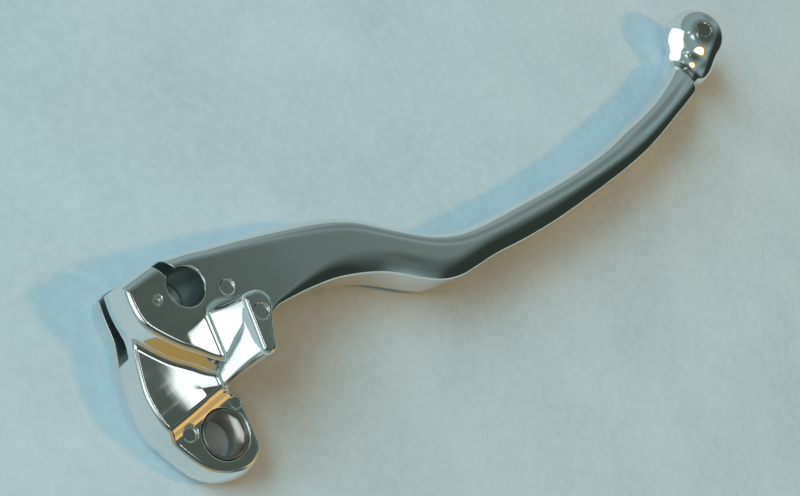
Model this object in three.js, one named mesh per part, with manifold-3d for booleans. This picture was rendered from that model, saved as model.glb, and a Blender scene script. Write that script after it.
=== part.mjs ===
// Cable clutch lever with a pivot bush, lying on its smooth side.
// Millimetres, +Z up along the pivot axis, +X from the pivot toward the ball end,
// the grip is on the -Y side. The origin is on the pivot axis in the plane the lever lies on.
import * as THREE from 'three';
import * as BufferGeometryUtils from 'three/addons/utils/BufferGeometryUtils.js';
import { ConvexGeometry } from 'three/addons/geometries/ConvexGeometry.js';
import Module from 'manifold-3d';

const wasm = await Module();
wasm.setup();

// ---------- driving dimensions ----------
// Pivot: an 8 mm bolt shoulder turns inside the bush, the lever turns on the bush.
const BOLT_HOLE_R = 4.0;
const BUSH_OUT_R = 4.6;
const PIVOT_BORE_R = 4.7;
const BORE_CHAMFER = 0.25;
const BUSH_CHAMFER = 0.15;
const BUSH_PROUD = 0.15;

// Heights of the flats above the plane the lever lies on.
const LOBE_TOP = 6.4;
const PLATE_TOP = 7.9;
const PLATEAU_TOP = 12.0;
const TAB_TOP = 22.5;

// Edge roundings of the hub and of the blade.
const HUB_BASE_ROUND = 2.4;
const HUB_TOP_ROUND = 0.7;
const HUB_DRAFT = { inset: 1.8, drop: 4.0 };
const BLADE_ROUND = 2.2;
const ROUND_STEPS = 4;

// Cable end: blind bore for the barrel, entry channel and the slot the wire swings in.
const BARREL = { x: 7.6, y: 25.3, r: 3.75, floor: 2.4 };
const ENTRY = { x: 6.6, y: 28.9, r: 1.4 };
const SLOT = { z: 4.0, height: 2.1, reach: 24, from: 112, to: 197 };

// Ball end and the bead that leads into it.
const BALL = { x: 188.4, y: 0, z: 8, r: 8 };
const BEAD = { x: 183.0, y: -3.4, z: 7.1, r: 6.5 };

// Round ejector marks: place, radius and depth.
const MARK_DEPTH = 0.35;
const MARKS = [
  { x: -5.7, y: 4.1, z: LOBE_TOP, r: 1.45 },
  { x: 5.6, y: 3.2, z: LOBE_TOP, r: 1.2 },
  { x: 14.6, y: 20.9, z: PLATEAU_TOP, r: 1.5 },
  { x: 1.2, y: 26.2, z: PLATEAU_TOP, r: 1.2 },
  { x: 10.2, y: 14.5, z: TAB_TOP, r: 1.5 },
];
const BALL_MARK_R = 1.9;
const BALL_MARK_SINK = 0.45;

// Tessellation.
const ROUND_SEGMENTS = 40;
const SMALL_SEGMENTS = 20;
const BALL_SEGMENTS = 36;
const CURVE_POINTS = 4;
const OVERRUN = 2;

// ---------- outlines in plan, at the widest height ----------
// Hub below the plateau: left wall, around the pivot lobe, back under the tab.
const HUB_LEFT = [
  [-4.3, 28.4], [-6.4, 24.0], [-8.8, 19.5], [-10.7, 15.0], [-11.4, 11.0],
  [-11.4, 7.5], [-10.9, 3.5], [-10.0, 0.2], [-8.8, -2.8], [-7.0, -5.3], [-4.5, -7.3],
  [-1.5, -8.6], [1.4, -8.9], [3.9, -8.1], [5.9, -6.2], [7.0, -3.2], [7.8, 0.0], [8.6, 3.0],
];
const HUB_NOTCH = [[9.0, 4.9], [7.2, 6.0]];
const HUB_RIGHT = [[14.6, 5.9], [16.6, 7.2], [18.4, 10.0], [22.0, 12.6]];
const HUB_BACK = [[24.0, 27.0], [-2.2, 32.4]];

// Blade: the side away from the grip, then the grip side.
const BLADE_FAR = [
  [5.0, 32.2], [11.6, 30.8], [17.2, 29.1], [23.0, 27.6], [28.5, 26.0],
  [34.2, 24.3], [40.2, 22.3], [46.0, 19.9], [50.6, 17.2], [55.5, 13.2], [60.7, 8.9], [66.0, 5.0],
  [72.5, 1.9], [81.3, -0.2], [95.7, -2.4], [111.2, -4.5], [128.0, -5.8], [140.0, -5.6],
  [151.0, -5.4], [162.0, -4.6], [172.0, -2.9], [179.0, -0.6],
];
const BLADE_GRIP = [
  [181.0, -9.4], [172.0, -11.2], [160.0, -12.4], [147.4, -13.2], [135.1, -13.2],
  [123.0, -12.7], [112.3, -12.0], [99.1, -10.9], [88.0, -9.4], [77.8, -7.6], [70.5, -6.8],
  [65.6, -6.1], [60.8, -4.3], [56.3, -1.2], [51.3, 2.9], [46.4, 6.0], [38.5, 9.4], [30.0, 11.4],
  [22.0, 12.6],
];

// The ridge where the plateau steps down to the plate.
const RIDGE = [[-9.0, 27.0], [-3.9, 24.9], [-3.4, 22.5], [-0.5, 17.7], [4.2, 11.9], [5.2, 5.0]];

// The step from the plate down to the pivot lobe.
const LOBE_STEP = { y: 6.6, slope: 1.1 };

// Tab: foot corners on the plate and plateau, and the outline of its narrow top.
const TAB_FOOT = [
  [3.9, 6.2], [13.6, 6.6], [16.4, 12.0], [15.2, 18.6], [11.0, 20.9], [6.6, 20.7],
];
const TAB_BOTTOM = 4.0;
const TAB_HEAD = { x: 10.7, y: 15.6, r: 2.75 };
const TAB_TAIL = { x: 7.6, y: 9.3, r: 1.6 };
const TAB_TOP_LEFT = [[8.7, 18.4], [5.9, 9.6]];

// ---------- helpers ----------
function toSolid(geometry) {
  const bare = geometry.clone();
  bare.deleteAttribute('normal');
  bare.deleteAttribute('uv');
  const merged = BufferGeometryUtils.mergeVertices(bare, 1e-4);
  const mesh = new wasm.Mesh({
    numProp: 3,
    vertProperties: new Float32Array(merged.attributes.position.array),
    triVerts: new Uint32Array(merged.index.array),
  });
  mesh.merge();
  return new wasm.Manifold(mesh);
}

function toGeometry(solid) {
  const mesh = solid.getMesh();
  const geometry = new THREE.BufferGeometry();
  geometry.setAttribute('position', new THREE.BufferAttribute(mesh.vertProperties, 3));
  geometry.setIndex(new THREE.BufferAttribute(mesh.triVerts, 1));
  geometry.computeVertexNormals();
  return geometry;
}

function part(name, solid, material) {
  const mesh = new THREE.Mesh(toGeometry(solid), material);
  mesh.name = name;
  return mesh;
}

function vec(points) {
  return points.map(([x, y]) => new THREE.Vector2(x, y));
}

function smooth(points) {
  const curve = new THREE.SplineCurve(vec(points));
  return curve.getPoints((points.length - 1) * CURVE_POINTS);
}

function closedShape(runs) {
  return new THREE.Shape(runs.flat());
}

// A flat outline pulled up from z0 to z1 with square edges.
function slab(shape, z0, z1) {
  const geometry = new THREE.ExtrudeGeometry(shape, {
    depth: z1 - z0,
    bevelEnabled: false,
    curveSegments: ROUND_SEGMENTS,
  });
  geometry.translate(0, 0, z0);
  return toSolid(geometry);
}

// The same with its edges rounded inward.
function roundedSlab(shape, z0, z1, round) {
  const geometry = new THREE.ExtrudeGeometry(shape, {
    depth: z1 - z0 - 2 * round,
    bevelEnabled: true,
    bevelSize: round,
    bevelThickness: round,
    bevelOffset: -round,
    bevelSegments: ROUND_STEPS,
    curveSegments: ROUND_SEGMENTS,
  });
  geometry.translate(0, 0, z0 + round);
  return toSolid(geometry);
}

// The same outline with walls that lean inward over the last `drop` below the top face.
function draftedSlab(shape, top, draft) {
  const geometry = new THREE.ExtrudeGeometry(shape, {
    depth: OVERRUN,
    bevelEnabled: true,
    bevelSize: draft.inset,
    bevelThickness: draft.drop,
    bevelOffset: -draft.inset,
    bevelSegments: ROUND_STEPS + 2,
    curveSegments: ROUND_SEGMENTS,
  });
  geometry.translate(0, 0, top - draft.drop - OVERRUN);
  return toSolid(geometry);
}

function lathe(profile, segments) {
  const points = profile.map(([r, z]) => new THREE.Vector2(r, z));
  const geometry = new THREE.LatheGeometry(points, segments);
  geometry.rotateX(Math.PI / 2);
  return toSolid(geometry);
}

function pin(x, y, r, z0, z1, segments) {
  const profile = [[0, z0], [r, z0], [r, z1], [0, z1]];
  return lathe(profile, segments).translate([x, y, 0]);
}

// ---------- lever casting ----------
function hubShape() {
  return closedShape([smooth(HUB_LEFT), vec(HUB_NOTCH), vec(HUB_RIGHT), vec(HUB_BACK)]);
}

function hubBase() {
  const shape = hubShape();
  const low = roundedSlab(shape, 0, PLATE_TOP + HUB_BASE_ROUND, HUB_BASE_ROUND);
  const plate = draftedSlab(shape, PLATE_TOP, HUB_DRAFT).subtract(lobeCut());
  const lobe = draftedSlab(shape, LOBE_TOP, HUB_DRAFT);
  return low.intersect(plate.add(lobe));
}

function bladeShape() {
  const ballSide = vec([[184.5, 0.2], [185.5, -6.4]]);
  const hubSide = vec([[8.0, 15.0], [1.0, 24.0]]);
  return closedShape([smooth(BLADE_FAR), ballSide, smooth(BLADE_GRIP), hubSide]);
}

function bladeAndPlateau() {
  return roundedSlab(bladeShape(), 0, PLATEAU_TOP, BLADE_ROUND);
}

function plateauBlock() {
  const outline = [
    [-3.9, 25.2], [-3.4, 28.6], [-2.4, 31.4], [0.4, 32.0], [5.0, 31.5], [11.6, 30.2], [19.0, 28.2],
    [19.0, 12.0], [8.0, 9.0], [4.6, 12.0], [2.0, 15.0], [-0.5, 18.0], [-3.2, 22.6],
  ];
  return roundedSlab(closedShape([vec(outline)]), 1, PLATEAU_TOP, HUB_TOP_ROUND);
}

function ridgeCut() {
  const outside = [[-30, -30], [-30, 27.0]];
  const shape = closedShape([vec(outside), vec(RIDGE), vec([[5.2, -30]])]);
  return slab(shape, PLATE_TOP, PLATEAU_TOP + OVERRUN);
}

function lobeCut() {
  const y0 = LOBE_STEP.y;
  const above = PLATE_TOP + OVERRUN;
  const profile = vec([
    [y0 - LOBE_STEP.slope, -OVERRUN],
    [y0 - LOBE_STEP.slope, LOBE_TOP],
    [y0, PLATE_TOP],
    [y0, above],
    [-30, above],
    [-30, -OVERRUN],
  ]);
  const geometry = new THREE.ExtrudeGeometry(closedShape([profile]), {
    depth: 60,
    bevelEnabled: false,
  });
  geometry.rotateX(Math.PI / 2);
  geometry.rotateZ(Math.PI / 2);
  geometry.translate(-30, 0, 0);
  return toSolid(geometry);
}

function arcPoints(circle, z) {
  const points = [];
  for (let i = 0; i < SMALL_SEGMENTS; i += 1) {
    const a = (i / SMALL_SEGMENTS) * Math.PI * 2;
    const x = circle.x + circle.r * Math.cos(a);
    const y = circle.y + circle.r * Math.sin(a);
    points.push(new THREE.Vector3(x, y, z));
  }
  return points;
}

function tab() {
  const foot = TAB_FOOT.map(([x, y]) => new THREE.Vector3(x, y, TAB_BOTTOM));
  const corner = TAB_TOP_LEFT.map(([x, y]) => new THREE.Vector3(x, y, TAB_TOP));
  const rounds = [...arcPoints(TAB_HEAD, TAB_TOP), ...arcPoints(TAB_TAIL, TAB_TOP)];
  return toSolid(new ConvexGeometry([...foot, ...corner, ...rounds]));
}

function ballEnd() {
  return sphere(BALL).add(sphere(BEAD));
}

function sphere(round) {
  const geometry = new THREE.SphereGeometry(round.r, BALL_SEGMENTS, BALL_SEGMENTS / 2);
  geometry.rotateX(Math.PI / 2);
  geometry.translate(round.x, round.y, round.z);
  return toSolid(geometry);
}

function pivotBore() {
  const r = PIVOT_BORE_R;
  const c = BORE_CHAMFER;
  const profile = [
    [0, -OVERRUN], [r + c + OVERRUN, -OVERRUN], [r, c], [r, LOBE_TOP - c],
    [r + c + OVERRUN, LOBE_TOP + OVERRUN], [0, LOBE_TOP + OVERRUN],
  ];
  return lathe(profile, ROUND_SEGMENTS);
}

function barrelBore() {
  const { x, y, r, floor } = BARREL;
  const c = BORE_CHAMFER;
  const top = PLATEAU_TOP;
  const profile = [
    [0, floor], [r, floor], [r, top - c], [r + c + OVERRUN, top + OVERRUN], [0, top + OVERRUN],
  ];
  return lathe(profile, ROUND_SEGMENTS).translate([x, y, 0]);
}

// Channel, open upward, that lets the wire drop in beside the barrel.
function entryChannel() {
  const { x, y, r } = ENTRY;
  const round = pin(x, y, r, SLOT.z, PLATEAU_TOP + OVERRUN, SMALL_SEGMENTS);
  const angle = Math.atan2(y - BARREL.y, x - BARREL.x);
  const shape = closedShape([vec([[0, -r], [10, -r], [10, r], [0, r]])]);
  const run = slab(shape, SLOT.z, PLATEAU_TOP + OVERRUN);
  const turned = run.rotate([0, 0, THREE.MathUtils.radToDeg(angle)]);
  return turned.translate([x, y, 0]).add(round);
}

// Flat fan the wire swings in while the lever is pulled.
function wireSlot() {
  const points = [new THREE.Vector2(BARREL.x, BARREL.y)];
  const steps = 12;
  for (let i = 0; i <= steps; i += 1) {
    const a = THREE.MathUtils.degToRad(SLOT.from + ((SLOT.to - SLOT.from) * i) / steps);
    const x = BARREL.x + SLOT.reach * Math.cos(a);
    const y = BARREL.y + SLOT.reach * Math.sin(a);
    points.push(new THREE.Vector2(x, y));
  }
  return slab(closedShape([points]), SLOT.z, SLOT.z + SLOT.height);
}

function markCut(mark) {
  return pin(mark.x, mark.y, mark.r, mark.z - MARK_DEPTH, mark.z + OVERRUN, SMALL_SEGMENTS);
}

function ballMark() {
  const tilt = new THREE.Vector3(-0.44, 0.14, 0.89).normalize();
  const profile = vec([[0, 0], [BALL_MARK_R, 0], [BALL_MARK_R, 4], [0, 4]]);
  const geometry = new THREE.LatheGeometry(profile, SMALL_SEGMENTS);
  const turn = new THREE.Quaternion().setFromUnitVectors(new THREE.Vector3(0, 1, 0), tilt);
  geometry.applyQuaternion(turn);
  const sink = BALL.r - BALL_MARK_SINK;
  geometry.translate(BALL.x + tilt.x * sink, BALL.y + tilt.y * sink, BALL.z + tilt.z * sink);
  return toSolid(geometry);
}

function leverCasting() {
  let body = bladeAndPlateau().add(plateauBlock()).subtract(ridgeCut());
  body = body.add(hubBase()).add(tab()).add(ballEnd());
  const cuts = [pivotBore(), barrelBore(), entryChannel(), wireSlot(), ballMark()];
  for (const cut of cuts) {
    body = body.subtract(cut);
  }
  for (const mark of MARKS) {
    body = body.subtract(markCut(mark));
  }
  return body;
}

// ---------- pivot bush ----------
function pivotBush() {
  const c = BUSH_CHAMFER;
  const z0 = 0;
  const z1 = LOBE_TOP + BUSH_PROUD;
  const profile = [
    [BOLT_HOLE_R, z0 + c], [BOLT_HOLE_R + c, z0], [BUSH_OUT_R - c, z0], [BUSH_OUT_R, z0 + c],
    [BUSH_OUT_R, z1 - c], [BUSH_OUT_R - c, z1], [BOLT_HOLE_R + c, z1], [BOLT_HOLE_R, z1 - c],
    [BOLT_HOLE_R, z0 + c],
  ];
  return lathe(profile, ROUND_SEGMENTS);
}

// ---------- materials and assembly ----------
const polished = new THREE.MeshStandardMaterial({ color: 0xd9dbdc, roughness: 0.08, metalness: 1 });
const bushSteel = new THREE.MeshStandardMaterial({ color: 0xb9b4a6, roughness: 0.3, metalness: 1 });

const group = new THREE.Group();
group.name = 'clutch_lever';
group.add(part('lever_casting', leverCasting(), polished));
group.add(part('pivot_bush', pivotBush(), bushSteel));

export default group;
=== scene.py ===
"""Looks of the cable clutch lever: a polished casting and its pivot bush on a pale floor.

Shapes are worked out in millimetres in the part's own frame, then scaled to metres.
"""

import math

import bpy
import numpy as np
from mathutils import Matrix, Vector

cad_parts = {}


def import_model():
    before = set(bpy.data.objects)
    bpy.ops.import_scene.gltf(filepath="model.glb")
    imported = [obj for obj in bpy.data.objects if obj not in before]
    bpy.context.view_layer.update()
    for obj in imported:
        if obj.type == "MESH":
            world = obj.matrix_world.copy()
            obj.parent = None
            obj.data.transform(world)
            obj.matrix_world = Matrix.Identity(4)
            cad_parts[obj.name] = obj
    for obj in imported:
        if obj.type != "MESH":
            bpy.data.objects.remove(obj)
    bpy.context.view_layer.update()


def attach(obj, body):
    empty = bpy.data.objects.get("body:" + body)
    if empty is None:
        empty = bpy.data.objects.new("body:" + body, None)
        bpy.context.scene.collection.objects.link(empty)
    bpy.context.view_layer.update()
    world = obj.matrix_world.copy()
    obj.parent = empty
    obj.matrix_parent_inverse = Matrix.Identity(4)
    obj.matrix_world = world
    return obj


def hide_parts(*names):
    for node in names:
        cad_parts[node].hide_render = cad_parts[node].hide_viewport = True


MM = 0.001

# ---------- heights of the flats ----------
LOBE_TOP = 6.4
PLATE_TOP = 7.9
PLATEAU_TOP = 12.0
TAB_TOP = 22.5
CAD_LOW = (-11.4, -13.25, 0.0)
CAD_HIGH = (196.4, 32.35, TAB_TOP)

# ---------- edges ----------
HUB_BASE_ROUND = 2.4
HUB_EDGE_ROUND = 0.45
HUB_DRAFT_INSET = 1.8
HUB_DRAFT_DROP = 4.0
HUB_DRAFT_SOFT = 1.2
FAR_ROUND_HUB = 2.4
FAR_ROUND_BLADE = 4.2
FAR_ROUND_SPAN = (10.0, 45.0)
BOTTOM_ROUND = 2.6
GRIP_ROUND_BLADE = 7.0
GRIP_ROUND_END = 4.2
GRIP_SHIFT_SHARE = 0.34
CROWN_GROWS = (14.0, 44.0)
CROWN_SHRINKS = (80.0, 165.0)
GRIP_EDGE = 0.35
RIDGE_ROUND = 0.7
RIDGE_LEAN = 0.35
RIDGE_FILLET = 1.1
MOUTH_ROUND = 0.28
LOBE_STEP_FROM = 4.7
LOBE_STEP_TO = 6.6
LOBE_STEP_ROUND = 0.5
LOBE_DRAFT_SPAN = (8.0, 4.0)
SWEEP_FROM = 6.6
SWEEP_SKEW = 0.4
SWEEP_SKEW_FROM = 12.0
SWEEP_REACH = 7.0
SWEEP_BEND = 0.009

# ---------- cable end and pivot ----------
BOLT_HOLE_R = 4.0
BUSH_OUT_R = 4.6
PIVOT_BORE_R = 4.7
BARREL = (7.6, 25.3)
BARREL_R = 3.75
BARREL_FLOOR = 2.4
ENTRY = (6.6, 28.9)
ENTRY_R = 1.15
ENTRY_PAST = 12.0
POCKET_ROUND = 0.3
INNER_SKIN = 0.12
SLOT_Z = 4.0
SLOT_HEIGHT = 2.1
SLOT_REACH = 24.0
SLOT_FROM = 112.0
SLOT_TO = 197.0

# ---------- ball end ----------
BALL = (188.4, 0.0, 8.0)
BALL_R = 8.0
BEAD = (184.4, -2.9, 5.9)
BEAD_R = 5.7
KNOB_SIDE = (185.4, -5.8, 5.0)
KNOB_SIDE_R = 5.2
SIDE_BLEND = 3.0
BEAD_BLEND = 0.5
KNOB_FILLET = 1.0
KNOB_UNDERSIDE = 0.05
BLADE_END = 185.4
TAPER_SPAN = (140.0, 172.0)
TAPER_DROP = 1.2
NECK_SPAN = (173.0, 178.5)
NECK_DROP = 2.9
BALL_MARK_DIRECTION = (-0.44, 0.14, 0.89)
BALL_MARK_R = 1.9
BALL_MARK_SINK = 0.45
BALL_MARK_ROUND = 0.2

# ---------- ejector marks: x, y, top, radius, depth ----------
MARKS = [
    (-5.7, 4.1, LOBE_TOP, 1.45, 0.35),
    (5.6, 3.2, LOBE_TOP, 1.2, 0.35),
    (14.6, 20.9, PLATEAU_TOP, 1.5, 0.25),
    (1.2, 26.2, PLATEAU_TOP, 0.85, 0.7),
    (10.2, 14.5, TAB_TOP, 1.5, 0.3),
]
MARK_ROUND = 0.15
MARK_CLEARANCE = 4.0

# ---------- outlines in plan ----------
HUB_LEFT = [
    (-4.3, 28.4), (-6.4, 24.0), (-8.8, 19.5), (-10.7, 15.0), (-11.4, 11.0),
    (-11.4, 7.5), (-10.9, 3.5), (-10.0, 0.2), (-8.8, -2.8), (-7.0, -5.3), (-4.5, -7.3),
    (-1.5, -8.6), (1.4, -8.9), (3.9, -8.1), (5.9, -6.2), (7.0, -3.2), (7.8, 0.0), (8.6, 3.0),
]
HUB_NOTCH = [(9.0, 4.9), (7.2, 6.0)]
HUB_RIGHT = [(14.6, 5.9), (16.6, 7.2), (18.4, 10.0), (22.0, 12.6)]
HUB_BACK = [(24.0, 27.0), (-2.2, 32.4)]
BLADE_FAR = [
    (5.0, 32.2), (11.6, 30.8), (17.2, 29.1), (23.0, 27.6), (28.5, 26.0),
    (34.2, 24.3), (40.2, 22.3), (46.0, 19.9), (50.6, 17.2), (55.5, 13.2), (60.7, 8.9),
    (66.0, 5.0), (72.5, 1.9), (81.3, -0.2), (95.7, -2.4), (111.2, -4.5), (128.0, -5.8),
    (140.0, -5.6), (151.0, -5.4), (162.0, -4.6), (172.0, -2.9), (179.0, -0.6),
]
BLADE_GRIP = [
    (181.0, -9.3), (172.0, -10.9), (160.0, -12.0), (147.4, -12.9), (135.1, -13.2),
    (123.0, -12.7), (112.3, -12.0), (99.1, -10.9), (88.0, -9.4), (77.8, -7.6), (70.5, -6.8),
    (65.6, -6.1), (60.8, -4.3), (56.3, -1.2), (51.3, 2.9), (46.4, 6.0), (38.5, 9.4),
    (30.0, 11.4), (22.0, 12.6),
]
RIDGE = [
    (-2.4, 31.4), (-3.4, 28.6), (-3.9, 25.2), (-3.3, 22.6), (-0.5, 17.8), (2.0, 14.8),
    (4.4, 11.8), (8.0, 9.0),
]
TAB_FOOT = [(1.0, 6.2), (13.6, 6.6), (16.4, 12.0), (15.2, 18.6), (11.0, 20.9), (3.0, 20.7)]
TAB_FOOT_Z = 4.0
TAB_HEAD = (10.7, 15.6)
TAB_HEAD_R = 2.75
TAB_TAIL = (7.6, 9.3)
TAB_TAIL_R = 1.6
TAB_WAIST = 0.3
TAB_EDGE = ((7.04, 9.24), (9.6, 17.3))
TAB_EDGE_R = 1.25
TAB_LEFT_FOOT = ((3.6, 6.2), (-0.972, 0.235))
TAB_LEFT_TOP = ((5.9, 9.6), (-0.953, 0.303))
TAB_FILLET = 0.9
TAB_TOP_ROUND = 0.75
TAB_EDGE_BLEND = 0.6
TAB_CORNER_ROUND = 0.5
TAB_PAST_TOP = 1.05
TAB_ROOT_Z = 1.0


# ---------- plan curves ----------
def spline(points, per_span=6):
    """A smooth curve through the points."""
    p = np.array([points[0], *points, points[-1]], float)
    out = []
    for i in range(1, len(p) - 2):
        for t in np.arange(per_span) / per_span:
            v0 = (p[i + 1] - p[i - 1]) / 2
            v1 = (p[i + 2] - p[i]) / 2
            a, b = p[i], p[i + 1]
            out.append(
                (2 * a - 2 * b + v0 + v1) * t**3
                + (-3 * a + 3 * b - 2 * v0 - v1) * t**2
                + v0 * t
                + a
            )
    out.append(p[-2])
    return [tuple(q) for q in out]


def polygon_distance(x, y, outline):
    """Signed distance to a closed outline, negative inside."""
    best = np.full(x.shape, 1e12)
    inside = np.zeros(x.shape, bool)
    pts = np.array(outline, float)
    for (ax, ay), (bx, by) in zip(pts, np.roll(pts, -1, axis=0)):
        ex, ey = bx - ax, by - ay
        length2 = ex * ex + ey * ey
        if length2 < 1e-12:
            continue
        t = np.clip(((x - ax) * ex + (y - ay) * ey) / length2, 0, 1)
        best = np.minimum(best, (x - ax - t * ex) ** 2 + (y - ay - t * ey) ** 2)
        if ay != by:
            crosses = (ay > y) != (by > y)
            inside ^= crosses & (x < (bx - ax) * (y - ay) / (by - ay) + ax)
    return np.sqrt(best) * np.where(inside, -1, 1)


def blurred(table, sigma):
    """The table softened by a Gaussian of that many cells."""
    reach = max(1, int(math.ceil(3 * sigma)))
    kernel = np.exp(-0.5 * (np.arange(-reach, reach + 1) / sigma) ** 2)
    kernel /= kernel.sum()
    for axis in (0, 1):
        pad = [(0, 0), (0, 0)]
        pad[axis] = (reach, reach)
        wide = np.pad(table, pad, mode="reflect", reflect_type="odd")
        table = sum(
            k * np.take(wide, range(i, i + table.shape[axis]), axis=axis)
            for i, k in enumerate(kernel)
        )
    return table


class Plan:
    """Distance to an outline, kept as a table and read back smoothly."""

    def __init__(self, outline, step, soften, low=(-18.0, -20.0), high=(204.0, 40.0)):
        self.step = step
        self.low = low
        nx = int((high[0] - low[0]) / step) + 4
        ny = int((high[1] - low[1]) / step) + 4
        x = low[0] + step * np.arange(nx)
        y = low[1] + step * np.arange(ny)
        gx, gy = np.meshgrid(x, y, indexing="ij")
        self.table = blurred(polygon_distance(gx, gy, outline), soften / step)

    def read(self, x, y):
        """The distance and its slopes along x and y."""
        nx, ny = self.table.shape
        u = np.clip((x - self.low[0]) / self.step, 1, nx - 3.001)
        v = np.clip((y - self.low[1]) / self.step, 1, ny - 3.001)
        i, j = u.astype(int), v.astype(int)
        wu, du = cubic_weights(u - i)
        wv, dv = cubic_weights(v - j)
        value = along_x = along_y = 0
        for a in range(4):
            near = [self.table[i + a - 1, j + b - 1] for b in range(4)]
            row = sum(w * t for w, t in zip(wv, near))
            value = value + wu[a] * row
            along_x = along_x + du[a] * row
            along_y = along_y + wu[a] * sum(w * t for w, t in zip(dv, near))
        return value, along_x / self.step, along_y / self.step


def cubic_weights(t):
    """Weights of a cubic B-spline, which has no corners, and their slopes."""
    weights = (
        (1 - t) ** 3 / 6,
        (3 * t**3 - 6 * t**2 + 4) / 6,
        (-3 * t**3 + 3 * t**2 + 3 * t + 1) / 6,
        t**3 / 6,
    )
    slopes = (
        -((1 - t) ** 2) / 2,
        (3 * t**2 - 4 * t) / 2,
        (-3 * t**2 + 2 * t + 1) / 2,
        t**2 / 2,
    )
    return weights, slopes


# ---------- joining and cutting solids given as distances ----------
def meet(a, b, r):
    """The overlap of two solids, its edge rounded to radius r."""
    inner = np.minimum(np.maximum(a, b) + r, 0)
    return inner + np.hypot(np.maximum(a + r, 0), np.maximum(b + r, 0)) - r


def blend(a, b, k):
    """Two solids joined with a fillet."""
    h = np.clip(0.5 + 0.5 * (b - a) / k, 0, 1)
    return b * (1 - h) + a * h - k * h * (1 - h)


def smooth_step(low, high, v):
    t = np.clip((v - low) / (high - low), 0, 1)
    return t * t * (3 - 2 * t)


def soft_positive(v, k):
    """v where it is positive and 0 below, turning smoothly over k."""
    t = np.clip((v + k) / (2 * k), 0, 1)
    return np.where(v > k, v, k * t * t)


# ---------- the casting ----------
def hub_plan():
    outline = [*spline(HUB_LEFT), *HUB_NOTCH, *HUB_RIGHT, *HUB_BACK]
    return Plan(outline, 0.25, 0.3, high=(60.0, 40.0))


def far_plan():
    tail = [(186.0, 0.6), (240.0, 0.6), (240.0, -90.0), (-60.0, -90.0), (-60.0, 32.0)]
    return Plan([(-2.4, 32.0), *spline(BLADE_FAR), *tail], 0.5, 0.9)


def grip_plan():
    tail = [(19.0, 12.0), (8.0, 9.0), (4.4, 11.8), (4.4, -90.0), (-60.0, -90.0)]
    head = [(-60.0, 90.0), (240.0, 90.0), (240.0, -7.6), (186.0, -7.9)]
    return Plan([*head, *spline(BLADE_GRIP), *tail], 0.5, 0.5)


def ridge_plan():
    outline = [*spline(RIDGE), (8.0, -90.0), (240.0, -90.0), (240.0, 90.0), (-2.4, 90.0)]
    return Plan(outline, 0.25, 0.3, high=(60.0, 40.0))


def tab_foot_plan():
    return Plan(TAB_FOOT, 0.25, 0.6, high=(60.0, 40.0))


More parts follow.
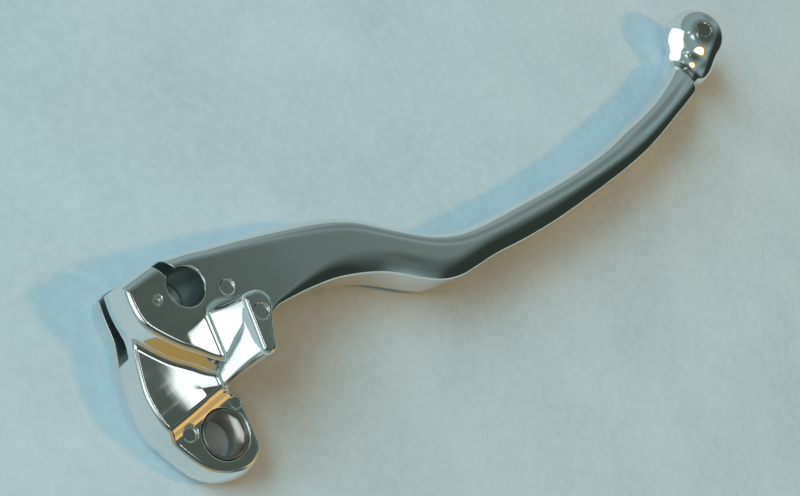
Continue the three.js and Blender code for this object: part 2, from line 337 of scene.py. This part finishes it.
class Casting:
    """Signed distance, in millimetres, to the surface of the lever casting."""

    def __init__(self):
        self.hub = hub_plan()
        self.far = far_plan()
        self.grip = grip_plan()
        self.ridge = ridge_plan()
        self.foot = tab_foot_plan()
        self.slot = Plan(slot_outline(), 0.25, 0.15, high=(60.0, 40.0))

    def plans(self, x, y):
        """Each outline's distance with its slopes along x and y."""
        names = ("hub", "far", "grip", "ridge", "foot", "slot")
        return {name: getattr(self, name).read(x, y) for name in names}

    def at(self, p):
        return self(*p.T, {k: f[0] for k, f in self.plans(p[:, 0], p[:, 1]).items()})

    def with_gradient(self, p, h=0.02):
        """Distance and gradient at points, from one reading of the outlines."""
        plans = self.plans(p[:, 0], p[:, 1])
        g = np.empty_like(p)
        for n in range(3):
            step = np.zeros(3)
            step[n] = h
            side = []
            for sign in (1, -1):
                moved = {k: f[0] + (sign * h * f[n + 1] if n < 2 else 0) for k, f in plans.items()}
                side.append(self(*(p + sign * step).T, moved))
            g[:, n] = (side[0] - side[1]) / (2 * h)
        return self(*p.T, {k: f[0] for k, f in plans.items()}), g

    def __call__(self, x, y, z, f):
        body = self.upper(x, y, z, f)
        body = blend(body, self.hub_body(x, y, z, f), RIDGE_FILLET)
        body = blend(body, self.tab(x, y, z, f), TAB_FILLET)
        body = self.ball_end(x, y, z, body)
        return self.cut(x, y, z, f, body)

    def upper(self, x, y, z, f):
        """Blade and plateau: everything as high as the plateau."""
        top = z - PLATEAU_TOP + TAPER_DROP * smooth_step(*TAPER_SPAN, x)
        top = top + NECK_DROP * smooth_step(*NECK_SPAN, x)
        share = smooth_step(*FAR_ROUND_SPAN, x)
        far_round = FAR_ROUND_HUB + (FAR_ROUND_BLADE - FAR_ROUND_HUB) * share
        far = np.maximum(meet(f["far"], top, far_round), meet(f["far"], -z, BOTTOM_ROUND))
        growth, shrinkage = GRIP_ROUND_BLADE - HUB_EDGE_ROUND, GRIP_ROUND_BLADE - GRIP_ROUND_END
        crown_round = HUB_EDGE_ROUND + growth * smooth_step(*CROWN_GROWS, x)
        crown_round = crown_round - shrinkage * smooth_step(*CROWN_SHRINKS, x)
        crown = meet(f["grip"] - GRIP_SHIFT_SHARE * crown_round, top, crown_round)
        grip = np.maximum(meet(crown, f["grip"], GRIP_EDGE), meet(f["grip"], -z, BOTTOM_ROUND))
        lean = RIDGE_LEAN * np.clip(PLATEAU_TOP - z, 0, PLATEAU_TOP - PLATE_TOP)
        ridge = meet((f["ridge"] - lean) / math.hypot(1, RIDGE_LEAN), top, RIDGE_ROUND)
        return np.maximum(np.maximum(far, grip), ridge)

    def hub_body(self, x, y, z, f):
        """Plate and pivot lobe: walls that lean inward, and a plate that sweeps up to the tab."""
        inset = HUB_DRAFT_INSET / HUB_DRAFT_DROP
        lean = inset * soft_positive(z - (PLATE_TOP - HUB_DRAFT_DROP), HUB_DRAFT_SOFT)
        lobe_extra = inset * (PLATE_TOP - LOBE_TOP) * smooth_step(*LOBE_DRAFT_SPAN, y)
        wall = (f["hub"] + lean + lobe_extra) / math.hypot(1, inset)
        rise, run = PLATE_TOP - LOBE_TOP, LOBE_STEP_TO - LOBE_STEP_FROM
        step = (rise * (LOBE_STEP_TO - y) + run * (z - PLATE_TOP)) / math.hypot(rise, run)
        skew = SWEEP_SKEW * np.maximum(y - SWEEP_SKEW_FROM, 0)
        past = np.clip(x + SWEEP_FROM - skew, 0, SWEEP_REACH)
        plate = z - PLATE_TOP - SWEEP_BEND / 2 * past**2
        top = blend(meet(plate, step, LOBE_STEP_ROUND), z - LOBE_TOP, LOBE_STEP_ROUND)
        return np.maximum(meet(wall, top, HUB_EDGE_ROUND), meet(wall, -z, HUB_BASE_ROUND))

    def tab(self, x, y, z, f):
        """The tab: its outline changes from foot to head, and its left face is ruled."""
        (tx, ty), (hx, hy) = TAB_TAIL, TAB_HEAD
        along = ((x - tx) * (hx - tx) + (y - ty) * (hy - ty)) / ((hx - tx) ** 2 + (hy - ty) ** 2)
        along = np.clip(along, 0, 1)
        radius = TAB_TAIL_R + (TAB_HEAD_R - TAB_TAIL_R) * along - 4 * TAB_WAIST * along * (1 - along)
        bone = segment_distance(x, y, TAB_TAIL, TAB_HEAD) - radius
        edge = segment_distance(x, y, *TAB_EDGE) - TAB_EDGE_R
        outline = blend(bone, edge, TAB_EDGE_BLEND)
        share = np.clip((z - TAB_FOOT_Z) / (TAB_TOP - TAB_FOOT_Z), 0, TAB_PAST_TOP)
        sides = (f["foot"] * (1 - share) + outline * share) / TAB_PAST_TOP
        left = 0
        for weight, ((px, py), (nx, ny)) in ((1 - share, TAB_LEFT_FOOT), (share, TAB_LEFT_TOP)):
            left = left + weight * ((x - px) * nx + (y - py) * ny)
        body = meet(sides, left, TAB_CORNER_ROUND)
        return np.maximum(meet(body, z - TAB_TOP, TAB_TOP_ROUND), TAB_ROOT_Z - z)

    def ball_end(self, x, y, z, body):
        """Cuts the blade short and joins on the ball, its two swellings and the ball's mark."""
        bx, by, bz = BALL
        ball = sphere_distance(x, y, z, BALL, BALL_R)
        side = sphere_distance(x, y, z, KNOB_SIDE, KNOB_SIDE_R)
        bead = sphere_distance(x, y, z, BEAD, BEAD_R)
        body = np.maximum(body, x - BLADE_END)
        knob = blend(blend(ball, side, SIDE_BLEND), bead, BEAD_BLEND)
        body = blend(body, np.maximum(knob, KNOB_UNDERSIDE - z), KNOB_FILLET)
        mark = np.array(BALL_MARK_DIRECTION) / np.linalg.norm(BALL_MARK_DIRECTION)
        along = (x - bx) * mark[0] + (y - by) * mark[1] + (z - bz) * mark[2]
        apart2 = (x - bx) ** 2 + (y - by) ** 2 + (z - bz) ** 2 - along**2
        across = np.sqrt(np.maximum(apart2, 1e-9)) - BALL_MARK_R
        dent = np.maximum(across, BALL_R - BALL_MARK_SINK - along)
        return meet(body, -dent, BALL_MARK_ROUND)

    def cut(self, x, y, z, f, body):
        """Takes out the pivot bore, the cable's hollow and the ejector marks."""
        bore = np.hypot(x, y) - PIVOT_BORE_R
        body = meet(body, -bore, MOUTH_ROUND)
        body = meet(body, -self.hollow(x, y, z, f), MOUTH_ROUND)
        for mx, my, mz, r, depth in MARKS:
            disc = np.hypot(x - mx, y - my)
            dent = meet(disc - r, mz - depth - z, MARK_ROUND)
            body = meet(body, -np.maximum(dent, z - mz - MARK_CLEARANCE), MARK_ROUND)
        return body

    def hollow(self, x, y, z, f):
        """The cable barrel's pocket, the channel beside it and the slot the wire swings in."""
        pocket = np.hypot(x - BARREL[0], y - BARREL[1]) - BARREL_R
        pocket = meet(pocket, BARREL_FLOOR - z, POCKET_ROUND)
        out = np.array(ENTRY) - np.array(BARREL)
        end = np.array(ENTRY) + ENTRY_PAST * out / np.linalg.norm(out)
        channel = segment_distance(x, y, BARREL, end) - ENTRY_R
        channel = np.maximum(channel, SLOT_Z - z)
        middle = SLOT_Z + SLOT_HEIGHT / 2
        slot = np.maximum(f["slot"], np.abs(z - middle) - SLOT_HEIGHT / 2)
        return np.minimum(np.minimum(pocket, channel), slot)

    def inner(self, p):
        """1 on the walls of the pocket, channel and slot, 0 on the outside."""
        plans = {k: f[0] for k, f in self.plans(p[:, 0], p[:, 1]).items()}
        wall = np.clip(1.2 - np.abs(self.hollow(*p.T, plans)) / INNER_SKIN, 0, 1)
        return wall * smooth_step(PLATEAU_TOP - 0.15, PLATEAU_TOP - 0.9, p[:, 2])


def sphere_distance(x, y, z, centre, radius):
    cx, cy, cz = centre
    return np.sqrt((x - cx) ** 2 + (y - cy) ** 2 + (z - cz) ** 2) - radius


def segment_distance(x, y, a, b):
    ex, ey = b[0] - a[0], b[1] - a[1]
    t = np.clip(((x - a[0]) * ex + (y - a[1]) * ey) / (ex * ex + ey * ey), 0, 1)
    return np.hypot(x - a[0] - t * ex, y - a[1] - t * ey)


def slot_outline():
    points = [BARREL]
    for degrees in np.linspace(SLOT_FROM, SLOT_TO, 14):
        a = math.radians(degrees)
        points.append(
            (BARREL[0] + SLOT_REACH * math.cos(a), BARREL[1] + SLOT_REACH * math.sin(a))
        )
    return points


# ---------- from distance to mesh ----------
def spaced(stops):
    """Grid positions: stops are (position, step up to the next stop)."""
    out = []
    for (a, step), (b, _) in zip(stops, stops[1:]):
        count = max(1, int(round((b - a) / step)))
        out.extend(a + (b - a) * np.arange(count) / count)
    out.append(stops[-1][0])
    return np.array(out)


def surface_net(values, xs, ys, zs):
    """Vertices and quads of the surface where values cross zero."""
    solid = values < 0
    cells = tuple(n - 1 for n in values.shape)
    some = np.zeros(cells, bool)
    every = np.ones(cells, bool)
    corners = [(i, j, k) for i in (0, 1) for j in (0, 1) for k in (0, 1)]
    for i, j, k in corners:
        part = solid[i:i + cells[0], j:j + cells[1], k:k + cells[2]]
        some |= part
        every &= part
    ci, cj, ck = np.nonzero(some & ~every)
    index = np.full(cells, -1, np.int32)
    index[ci, cj, ck] = np.arange(len(ci))
    total = np.zeros((len(ci), 3))
    count = np.zeros(len(ci))
    axes = (xs, ys, zs)
    for axis in range(3):
        for a in corners:
            if a[axis]:
                continue
            b = tuple(v + (n == axis) for n, v in enumerate(a))
            va = values[ci + a[0], cj + a[1], ck + a[2]]
            vb = values[ci + b[0], cj + b[1], ck + b[2]]
            hit = (va < 0) != (vb < 0)
            t = np.where(hit, va / np.where(hit, va - vb, 1), 0)
            for n, c in enumerate((ci, cj, ck)):
                pa, pb = axes[n][c + a[n]], axes[n][c + b[n]]
                total[:, n] += np.where(hit, pa + t * (pb - pa), 0)
            count += hit
    return total / count[:, None], np.concatenate(list(net_quads(solid, index)))


def net_quads(solid, index):
    """One quad round every grid edge that passes through the surface."""
    for axis in range(3):
        low = [slice(1, n - 1) for n in solid.shape]
        low[axis] = slice(0, solid.shape[axis] - 1)
        high = list(low)
        high[axis] = slice(1, solid.shape[axis])
        here, there = solid[tuple(low)], solid[tuple(high)]
        cell = np.argwhere(here != there)
        offset = np.ones(3, int)
        offset[axis] = 0
        cell = cell + offset
        leaving = here[here != there]
        u, v = (axis + 1) % 3, (axis + 2) % 3
        ring = []
        for du, dv in ((1, 1), (0, 1), (0, 0), (1, 0)):
            c = cell.copy()
            c[:, u] -= du
            c[:, v] -= dv
            ring.append(index[c[:, 0], c[:, 1], c[:, 2]])
        quads = np.stack(ring, axis=1)
        quads[~leaving] = quads[~leaving][:, ::-1]
        yield quads


def settled(shape, p, reach):
    """Points moved onto the surface, each by no more than reach."""
    start = p.copy()
    for _ in range(4):
        value, g = shape.with_gradient(p)
        p = p - (value / np.maximum((g**2).sum(1), 0.2))[:, None] * g
        away = p - start
        length = np.linalg.norm(away, axis=1, keepdims=True)
        p = start + away * np.minimum(1, reach / np.maximum(length, 1e-9))
    return p


def mesh_object(name, points, faces, normals=None):
    mesh = bpy.data.meshes.new(name)
    mesh.vertices.add(len(points))
    mesh.vertices.foreach_set("co", (points * MM).astype(np.float32).ravel())
    mesh.loops.add(faces.size)
    mesh.loops.foreach_set("vertex_index", faces.astype(np.int32).ravel())
    mesh.polygons.add(len(faces))
    mesh.polygons.foreach_set("loop_start", np.arange(0, faces.size, faces.shape[1]))
    mesh.update(calc_edges=True)
    mesh.validate()
    mesh.shade_smooth()
    if normals is not None:
        mesh.normals_split_custom_set_from_vertices(normals.tolist())
    obj = bpy.data.objects.new(name, mesh)
    bpy.context.scene.collection.objects.link(obj)
    return obj


def add_attribute(obj, name, values):
    layer = obj.data.attributes.new(name, "FLOAT", "POINT")
    layer.data.foreach_set("value", values.astype(np.float32))


def build_casting():
    shape = Casting()
    xs = spaced([(-12.2, 0.22), (17.0, 0.3), (26.0, 0.8), (176.0, 0.4), (197.0, 0.4)])
    ys = spaced([(-13.9, 0.3), (-9.6, 0.22), (33.2, 0.22)])
    zs = spaced([(-0.6, 0.3), (0.3, 0.35), (5.9, 0.22), (13.0, 0.35), (21.6, 0.22), (23.2, 0.2)])
    gx, gy = np.meshgrid(xs, ys, indexing="ij")
    flat = shape.plans(gx, gy)
    plans = {name: f[0][:, :, None].astype(np.float32) for name, f in flat.items()}
    x3 = xs[:, None, None].astype(np.float32)
    y3 = ys[None, :, None].astype(np.float32)
    z3 = zs[None, None, :].astype(np.float32)
    values = shape(x3, y3, z3, plans)
    points, quads = surface_net(values, xs, ys, zs)
    points = settled(shape, points, 0.25)
    points = np.clip(points, CAD_LOW, CAD_HIGH)
    slope = shape.with_gradient(points)[1]
    normals = slope / np.maximum(np.linalg.norm(slope, axis=1, keepdims=True), 1e-9)
    obj = mesh_object("lever_casting_polished", points, quads, normals)
    # recess_shade measures how enclosed each point is and is used as painted shade in hollows and corners;
    # edge marks the convex edges.
    for name, reach in (("recess_shade", 1.2), ("edge", 0.6)):
        side = 1 if name == "recess_shade" else -1
        away = shape.at(points + side * reach * normals) * side
        add_attribute(obj, name, np.clip(1 - away / reach, 0, 1))
    add_attribute(obj, "inner", shape.inner(points))
    return obj


def build_bush():
    """A turned ring with broken edges and a fine tool line round its top end face."""
    top = LOBE_TOP + 0.15
    profile = [
        (BOLT_HOLE_R, 0.22), (BOLT_HOLE_R + 0.03, 0.10), (BOLT_HOLE_R + 0.14, 0.01),
        (BUSH_OUT_R - 0.14, 0.01), (BUSH_OUT_R - 0.03, 0.10), (BUSH_OUT_R, 0.22),
        (BUSH_OUT_R, 1.8), (BUSH_OUT_R, 3.6), (BUSH_OUT_R, 5.2),
        (BUSH_OUT_R, top - 0.2), (BUSH_OUT_R - 0.03, top - 0.08), (BUSH_OUT_R - 0.14, top),
        (BUSH_OUT_R - 0.27, top - 0.004), (BUSH_OUT_R - 0.30, top - 0.03),
        (BUSH_OUT_R - 0.33, top - 0.004), (BOLT_HOLE_R + 0.14, top),
        (BOLT_HOLE_R + 0.03, top - 0.08), (BOLT_HOLE_R, top - 0.2),
        (BOLT_HOLE_R, 4.6), (BOLT_HOLE_R, 3.2), (BOLT_HOLE_R, 1.6),
    ]
    around = 128
    rows = len(profile)
    points, faces = [], []
    for i in range(around):
        a = 2 * math.pi * i / around
        points.extend((r * math.cos(a), r * math.sin(a), z) for r, z in profile)
    for i in range(around):
        for j in range(rows):
            here, there = i * rows, (i + 1) % around * rows
            after = (j + 1) % rows
            faces.append((here + j, there + j, there + after, here + after))
    return mesh_object("pivot_bush_turned", np.array(points), np.array(faces))


# ---------- materials ----------
class Nodes:
    """Short ways to add and link shader nodes."""

    def __init__(self, name):
        self.material = bpy.data.materials.new(name)
        self.material.use_nodes = True
        self.tree = self.material.node_tree
        self.tree.nodes.clear()
        self.shader = self.add("ShaderNodeBsdfPrincipled")
        out = self.add("ShaderNodeOutputMaterial")
        self.link(self.shader.outputs["BSDF"], out.inputs["Surface"])
        self.coords = self.add("ShaderNodeTexCoord").outputs["Object"]

    def add(self, kind, **settings):
        node = self.tree.nodes.new(kind)
        for key, value in settings.items():
            setattr(node, key, value)
        return node

    def link(self, a, b):
        self.tree.links.new(a, b)

    def placed(self, scale, rotation=(0, 0, 0)):
        mapping = self.add("ShaderNodeMapping")
        mapping.inputs["Scale"].default_value = scale
        mapping.inputs["Rotation"].default_value = rotation
        self.link(self.coords, mapping.inputs["Vector"])
        return mapping.outputs["Vector"]

    def noise(self, scale, detail=3.0, roughness=0.5, vector=None):
        node = self.add("ShaderNodeTexNoise")
        node.inputs["Scale"].default_value = scale
        node.inputs["Detail"].default_value = detail
        node.inputs["Roughness"].default_value = roughness
        self.link(vector or self.coords, node.inputs["Vector"])
        return node.outputs["Fac"]

    def spread(self, value, low, high, to_low, to_high):
        node = self.add("ShaderNodeMapRange")
        for key, number in zip(("From Min", "From Max", "To Min", "To Max"), (low, high, to_low, to_high)):
            node.inputs[key].default_value = number
        self.link(value, node.inputs["Value"])
        return node.outputs["Result"]

    def math(self, operation, a, b):
        node = self.add("ShaderNodeMath", operation=operation)
        for n, value in enumerate((a, b)):
            if isinstance(value, (int, float)):
                node.inputs[n].default_value = value
            else:
                self.link(value, node.inputs[n])
        return node.outputs["Value"]

    def mix(self, share, a, b):
        node = self.add("ShaderNodeMix", data_type="RGBA")
        self.link(share, node.inputs["Factor"])
        for socket, value in ((node.inputs["A"], a), (node.inputs["B"], b)):
            if isinstance(value, tuple):
                socket.default_value = (*value, 1)
            else:
                self.link(value, socket)
        return node.outputs["Result"]

    def attribute(self, name):
        return self.add("ShaderNodeAttribute", attribute_name=name).outputs["Fac"]

    def bump(self, height, strength, distance, after=None):
        node = self.add("ShaderNodeBump")
        node.inputs["Strength"].default_value = strength
        node.inputs["Distance"].default_value = distance
        self.link(height, node.inputs["Height"])
        if after is not None:
            self.link(after, node.inputs["Normal"])
        return node.outputs["Normal"]


def polished_alloy():
    """Hand-buffed cast aluminium: mirror bright, faintly wavy, hazed here and there."""
    n = Nodes("polished_alloy_buffed")
    n.shader.inputs["Metallic"].default_value = 1.0
    haze = n.noise(55.0, 4.0, 0.6)
    smudge = n.noise(18.0, 2.0)
    scratch = n.noise(900.0, 2.0, 0.6, n.placed((0.06, 1.0, 1.0), (0.0, 0.0, math.radians(-12))))
    cross = n.noise(1100.0, 2.0, 0.6, n.placed((1.0, 0.08, 1.0), (0.0, 0.0, math.radians(24))))
    grain = n.noise(2600.0, 2.0)
    recess_shade = n.spread(n.attribute("recess_shade"), 0.25, 0.75, 0.0, 1.0)
    edge = n.spread(n.attribute("edge"), 0.35, 0.95, 0.0, 1.0)
    tone = n.mix(n.spread(smudge, 0.35, 0.65, 0.0, 1.0), (0.86, 0.875, 0.87), (0.93, 0.935, 0.925))
    tone = n.mix(n.math("MULTIPLY", edge, 0.6), tone, (0.97, 0.97, 0.96))
    # Painted shade: the base colour is darkened in hollows and corners.
    tone = n.mix(n.math("MULTIPLY", recess_shade, 0.75), tone, (0.30, 0.32, 0.31))
    # The pocket, channel and slot walls are rougher as cast, and their pale teal base colour is a painted
    # reflection standing in for the light seen inside them.
    inner = n.attribute("inner")
    tone = n.mix(inner, tone, (0.46, 0.54, 0.53))
    n.link(tone, n.shader.inputs["Base Color"])
    rough = n.spread(haze, 0.35, 0.7, 0.035, 0.085)
    rough = n.math("ADD", rough, n.spread(scratch, 0.55, 0.8, 0.0, 0.05))
    rough = n.math("ADD", rough, n.math("MULTIPLY", recess_shade, 0.3))
    rough = n.math("ADD", rough, n.math("MULTIPLY", inner, 0.28))
    n.link(rough, n.shader.inputs["Roughness"])
    wave = n.noise(120.0, 2.0)
    normal = n.bump(wave, 0.12, 0.0002)
    normal = n.bump(scratch, 0.05, 0.00003, normal)
    normal = n.bump(cross, 0.04, 0.00003, normal)
    normal = n.bump(n.math("MULTIPLY", grain, recess_shade), 0.3, 0.00008, normal)
    n.link(normal, n.shader.inputs["Normal"])
    return n.material


def bush_steel():
    """Turned steel with rings from the lathe tool and a thin film of old grease."""
    n = Nodes("bush_steel_turned")
    n.shader.inputs["Metallic"].default_value = 1.0
    rings = n.add("ShaderNodeTexWave", wave_type="RINGS", rings_direction="Z")
    rings.inputs["Scale"].default_value = 2200.0
    rings.inputs["Distortion"].default_value = 0.6
    n.link(n.coords, rings.inputs["Vector"])
    lines = n.noise(700.0, 3.0, 0.6, n.placed((1.0, 1.0, 6.0)))
    grease = n.noise(260.0, 3.0)
    tone = n.mix(n.spread(grease, 0.4, 0.65, 0.0, 1.0), (0.34, 0.33, 0.30), (0.46, 0.45, 0.43))
    n.link(tone, n.shader.inputs["Base Color"])
    rough = n.spread(lines, 0.3, 0.7, 0.14, 0.26)
    rough = n.math("ADD", rough, n.spread(grease, 0.5, 0.8, 0.0, 0.12))
    n.link(rough, n.shader.inputs["Roughness"])
    normal = n.bump(rings.outputs["Fac"], 0.12, 0.00002)
    n.link(n.bump(lines, 0.1, 0.00003, normal), n.shader.inputs["Normal"])
    return n.material


def floor_material():
    """Pale matt paper with a faint mottle."""
    n = Nodes("floor_paper")
    cloud = n.noise(28.0, 4.0, 0.6)
    fibre = n.noise(420.0, 4.0, 0.65)
    tone = n.mix(n.spread(cloud, 0.3, 0.7, 0.0, 1.0), (0.50, 0.545, 0.55), (0.60, 0.64, 0.635))
    tone = n.mix(n.spread(fibre, 0.42, 0.62, 0.0, 0.35), tone, (0.66, 0.69, 0.68))
    n.link(tone, n.shader.inputs["Base Color"])
    n.shader.inputs["Roughness"].default_value = 0.85
    n.shader.inputs["Specular IOR Level"].default_value = 0.2
    n.link(n.bump(fibre, 0.15, 0.0003), n.shader.inputs["Normal"])
    return n.material


# ---------- camera and studio ----------
CAMERA_PLACE = (-124.13, 28.36, 208.73)
CAMERA_RIGHT = (0.57715, -0.57060, 0.58422)
CAMERA_UP = (0.47214, 0.81686, 0.33140)
CAMERA_FORWARD = (0.66632, -0.08457, -0.74085)
SENSOR_WIDTH = 36.0
LENS = 60.0345
SHIFT = (0.002, 0.0083875)

COOL, WARM, WHITE = (0.44, 0.79, 1.0), (1.0, 0.50, 0.06), (0.90, 0.98, 1.0)
AMBER, GOLD, SOFT = (1.0, 0.80, 0.42), (1.0, 0.62, 0.22), (1.0, 0.97, 0.86)
HUB, STEP, BALL_PLACE = (0.0, 0.012, 0.01), (-0.001, 0.006, 0.007), (0.188, 0.0, 0.008)
IN_BORE = (0.0008, 0.0, 0.0044)
# Cards: name, azimuth, elevation, distance, size, radiance, colour, target, spread.
CARDS = [
    ("skylight_low", 158, 48, 0.32, (0.18, 0.17), 1.7, WHITE, HUB, 42),
    ("skylight_high", 155, 71, 0.32, (0.18, 0.17), 1.7, WHITE, HUB, 42),
    ("hub_window", 131, 31, 0.50, (0.20, 0.16), 1.5, WHITE, HUB, 24),
    ("hub_wood", -56, 22, 0.06, (0.032, 0.038), 0.95, GOLD, STEP, 64),
    ("table_lamp", -131, 17, 0.12, (0.08, 0.08), 2.6, AMBER, BALL_PLACE, 74),
    ("ball_window", 0, 0, 0.0, (0.0122, 0.0127), 1.8, WHITE, BALL_PLACE, 110),
    ("bore_glow", 0, -90, 0.004, (0.0026, 0.0034), 1.5, WHITE, IN_BORE, 180),
]
# The card beside the ball is turned as listed: its place in metres, then two of its sides.
BALL_WINDOW_PLACE = (0.17775, 0.0068, 0.0059)
BALL_WINDOW_SIDES = ((-0.574, -0.279, 0.770), (0.472, 0.803, 0.370))

# Light from the room by height: sine of the elevation, then the colour.
ROOM_HEIGHTS = [
    (0.00, (0.22, 0.30, 0.29)),
    (0.55, (0.22, 0.33, 0.34)),
    (0.625, (0.19, 0.26, 0.25)),
    (0.70, (0.145, 0.20, 0.195)),
    (0.78, (0.125, 0.17, 0.16)),
    (0.835, (0.070, 0.092, 0.078)),
    (1.00, (0.055, 0.072, 0.055)),
]
# Patches of the room: azimuth, elevation, radius of the core, outer radius, colour.
ROOM_PATCHES = [
    (-48, 12, 22, 48, (0.025, 0.035, 0.028)),
    (-122, 22, 6, 26, (0.42, 0.28, 0.09)),
    (18, 24, 5, 16, (0.15, 0.205, 0.20)),
    (-8, 67, 3.5, 6.7, (1.5, 1.65, 1.68)),
]


def direction(azimuth, elevation):
    a, e = math.radians(azimuth), math.radians(elevation)
    return Vector((math.cos(a) * math.cos(e), math.sin(a) * math.cos(e), math.sin(e)))


def area_light(name, azimuth, elevation, distance, size, power, colour, target=(0.09, 0.005, 0.0)):
    """A lamp seen from the target in that direction, facing it."""
    data = bpy.data.lights.new(name, "AREA")
    data.shape = "RECTANGLE"
    data.size, data.size_y = size
    data.energy = power
    data.color = colour
    obj = bpy.data.objects.new(name, data)
    bpy.context.scene.collection.objects.link(obj)
    way = direction(azimuth, elevation)
    obj.location = Vector(target) + way * distance
    obj.rotation_euler = (-way).to_track_quat("-Z", "Y").to_euler()
    obj.visible_camera = False
    return obj


def glint(name, azimuth, elevation, distance, size, radiance, colour, target, spread):
    """A card that shows only as a reflection in the metal near the target.

    A narrow spread makes Cycles brighten the middle of the beam, so the power is cut to match.
    """
    half = math.radians(spread) / 2
    focus = 1 - half / math.tan(half) if spread < 180 else 1
    power = radiance * math.pi * size[0] * size[1] * focus
    card = area_light(name, azimuth, elevation, distance, size, power, colour, target)
    card.data.spread = math.radians(spread)
    card.visible_diffuse = False
    card.visible_shadow = False
    return card


def build_world():
    """A dim room: dark overhead, lighter low down, with a warm corner behind the table lamp."""
    world = bpy.data.worlds.new("room")
    world.use_nodes = True
    tree = world.node_tree
    tree.nodes.clear()
    new, link = tree.nodes.new, tree.links.new
    coords = new("ShaderNodeTexCoord").outputs["Generated"]
    split = new("ShaderNodeSeparateXYZ")
    link(coords, split.inputs["Vector"])
    height = new("ShaderNodeValToRGB")
    ramp = height.color_ramp
    while len(ramp.elements) < len(ROOM_HEIGHTS):
        ramp.elements.new(0.5)
    for element, (position, colour) in zip(ramp.elements, ROOM_HEIGHTS):
        element.position = position
        element.color = (*colour, 1)
    link(split.outputs["Z"], height.inputs["Fac"])
    colour = height.outputs["Color"]
    for azimuth, elevation, inner, outer, tint in ROOM_PATCHES:
        facing = new("ShaderNodeVectorMath")
        facing.operation = "DOT_PRODUCT"
        facing.inputs[1].default_value = direction(azimuth, elevation)
        link(coords, facing.inputs[0])
        mask = new("ShaderNodeMapRange")
        mask.interpolation_type = "SMOOTHSTEP"
        mask.inputs["From Min"].default_value = math.cos(math.radians(outer))
        mask.inputs["From Max"].default_value = math.cos(math.radians(inner))
        link(facing.outputs["Value"], mask.inputs["Value"])
        mix = new("ShaderNodeMix")
        mix.data_type = "RGBA"
        link(mask.outputs["Result"], mix.inputs["Factor"])
        link(colour, mix.inputs["A"])
        mix.inputs["B"].default_value = (*tint, 1)
        colour = mix.outputs["Result"]
    background = new("ShaderNodeBackground")
    link(colour, background.inputs["Color"])
    out = new("ShaderNodeOutputWorld")
    link(background.outputs["Background"], out.inputs["Surface"])
    bpy.context.scene.world = world


def build_floor():
    """A sheet 6 m across, a hair under the part so that the two never touch."""
    reach, gap = 3.0, 0.00005
    mesh = bpy.data.meshes.new("floor")
    corners = [(-reach, -reach, 0), (reach, -reach, 0), (reach, reach, 0), (-reach, reach, 0)]
    mesh.from_pydata(corners, [], [(0, 1, 2, 3)])
    floor = bpy.data.objects.new("floor", mesh)
    bpy.context.scene.collection.objects.link(floor)
    floor.location.z = -gap
    mesh.materials.append(floor_material())


def build_camera():
    data = bpy.data.cameras.new("camera")
    data.sensor_width = SENSOR_WIDTH
    data.lens = LENS
    data.shift_x, data.shift_y = SHIFT
    data.clip_start = 0.01
    data.clip_end = 20.0
    camera = bpy.data.objects.new("camera", data)
    axes = (Vector(CAMERA_RIGHT), Vector(CAMERA_UP), -Vector(CAMERA_FORWARD))
    turn = Matrix(axes).transposed().to_4x4()
    camera.matrix_world = Matrix.Translation(Vector(CAMERA_PLACE) * MM) @ turn
    bpy.context.scene.collection.objects.link(camera)
    bpy.context.scene.camera = camera


def build_lights():
    """A window, a warm lamp and a soft fill, then the cards that only the metal shows."""
    window = area_light("window", 128, 28, 2.5, (2.0, 1.6), 90.0, COOL)
    ceiling_lamp = area_light("ceiling_lamp", -47, 45, 1.6, (0.16, 0.16), 6.4, WARM)
    cards = {card[0]: glint(*card) for card in CARDS}
    cards["table_lamp"].data.shape = "DISK"
    across, along = (Vector(side) for side in BALL_WINDOW_SIDES)
    turn = Matrix((across, along, across.cross(along))).transposed()
    cards["ball_window"].matrix_world = Matrix.Translation(BALL_WINDOW_PLACE) @ turn.to_4x4()
    fill = area_light("fill", 170, 70, 2.0, (1.6, 1.6), 6.0, SOFT)
    for lamp in (window, ceiling_lamp, fill):
        lamp.visible_glossy = False


def main():
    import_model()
    scene = bpy.context.scene
    scene.view_settings.view_transform = "Standard"

    casting = build_casting()
    casting.data.materials.append(polished_alloy())
    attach(casting, "lever")
    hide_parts("lever_casting")

    bush = build_bush()
    bush.data.materials.append(bush_steel())
    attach(bush, "bush")
    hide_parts("pivot_bush")

    build_world()
    build_floor()
    build_lights()
    build_camera()


main()
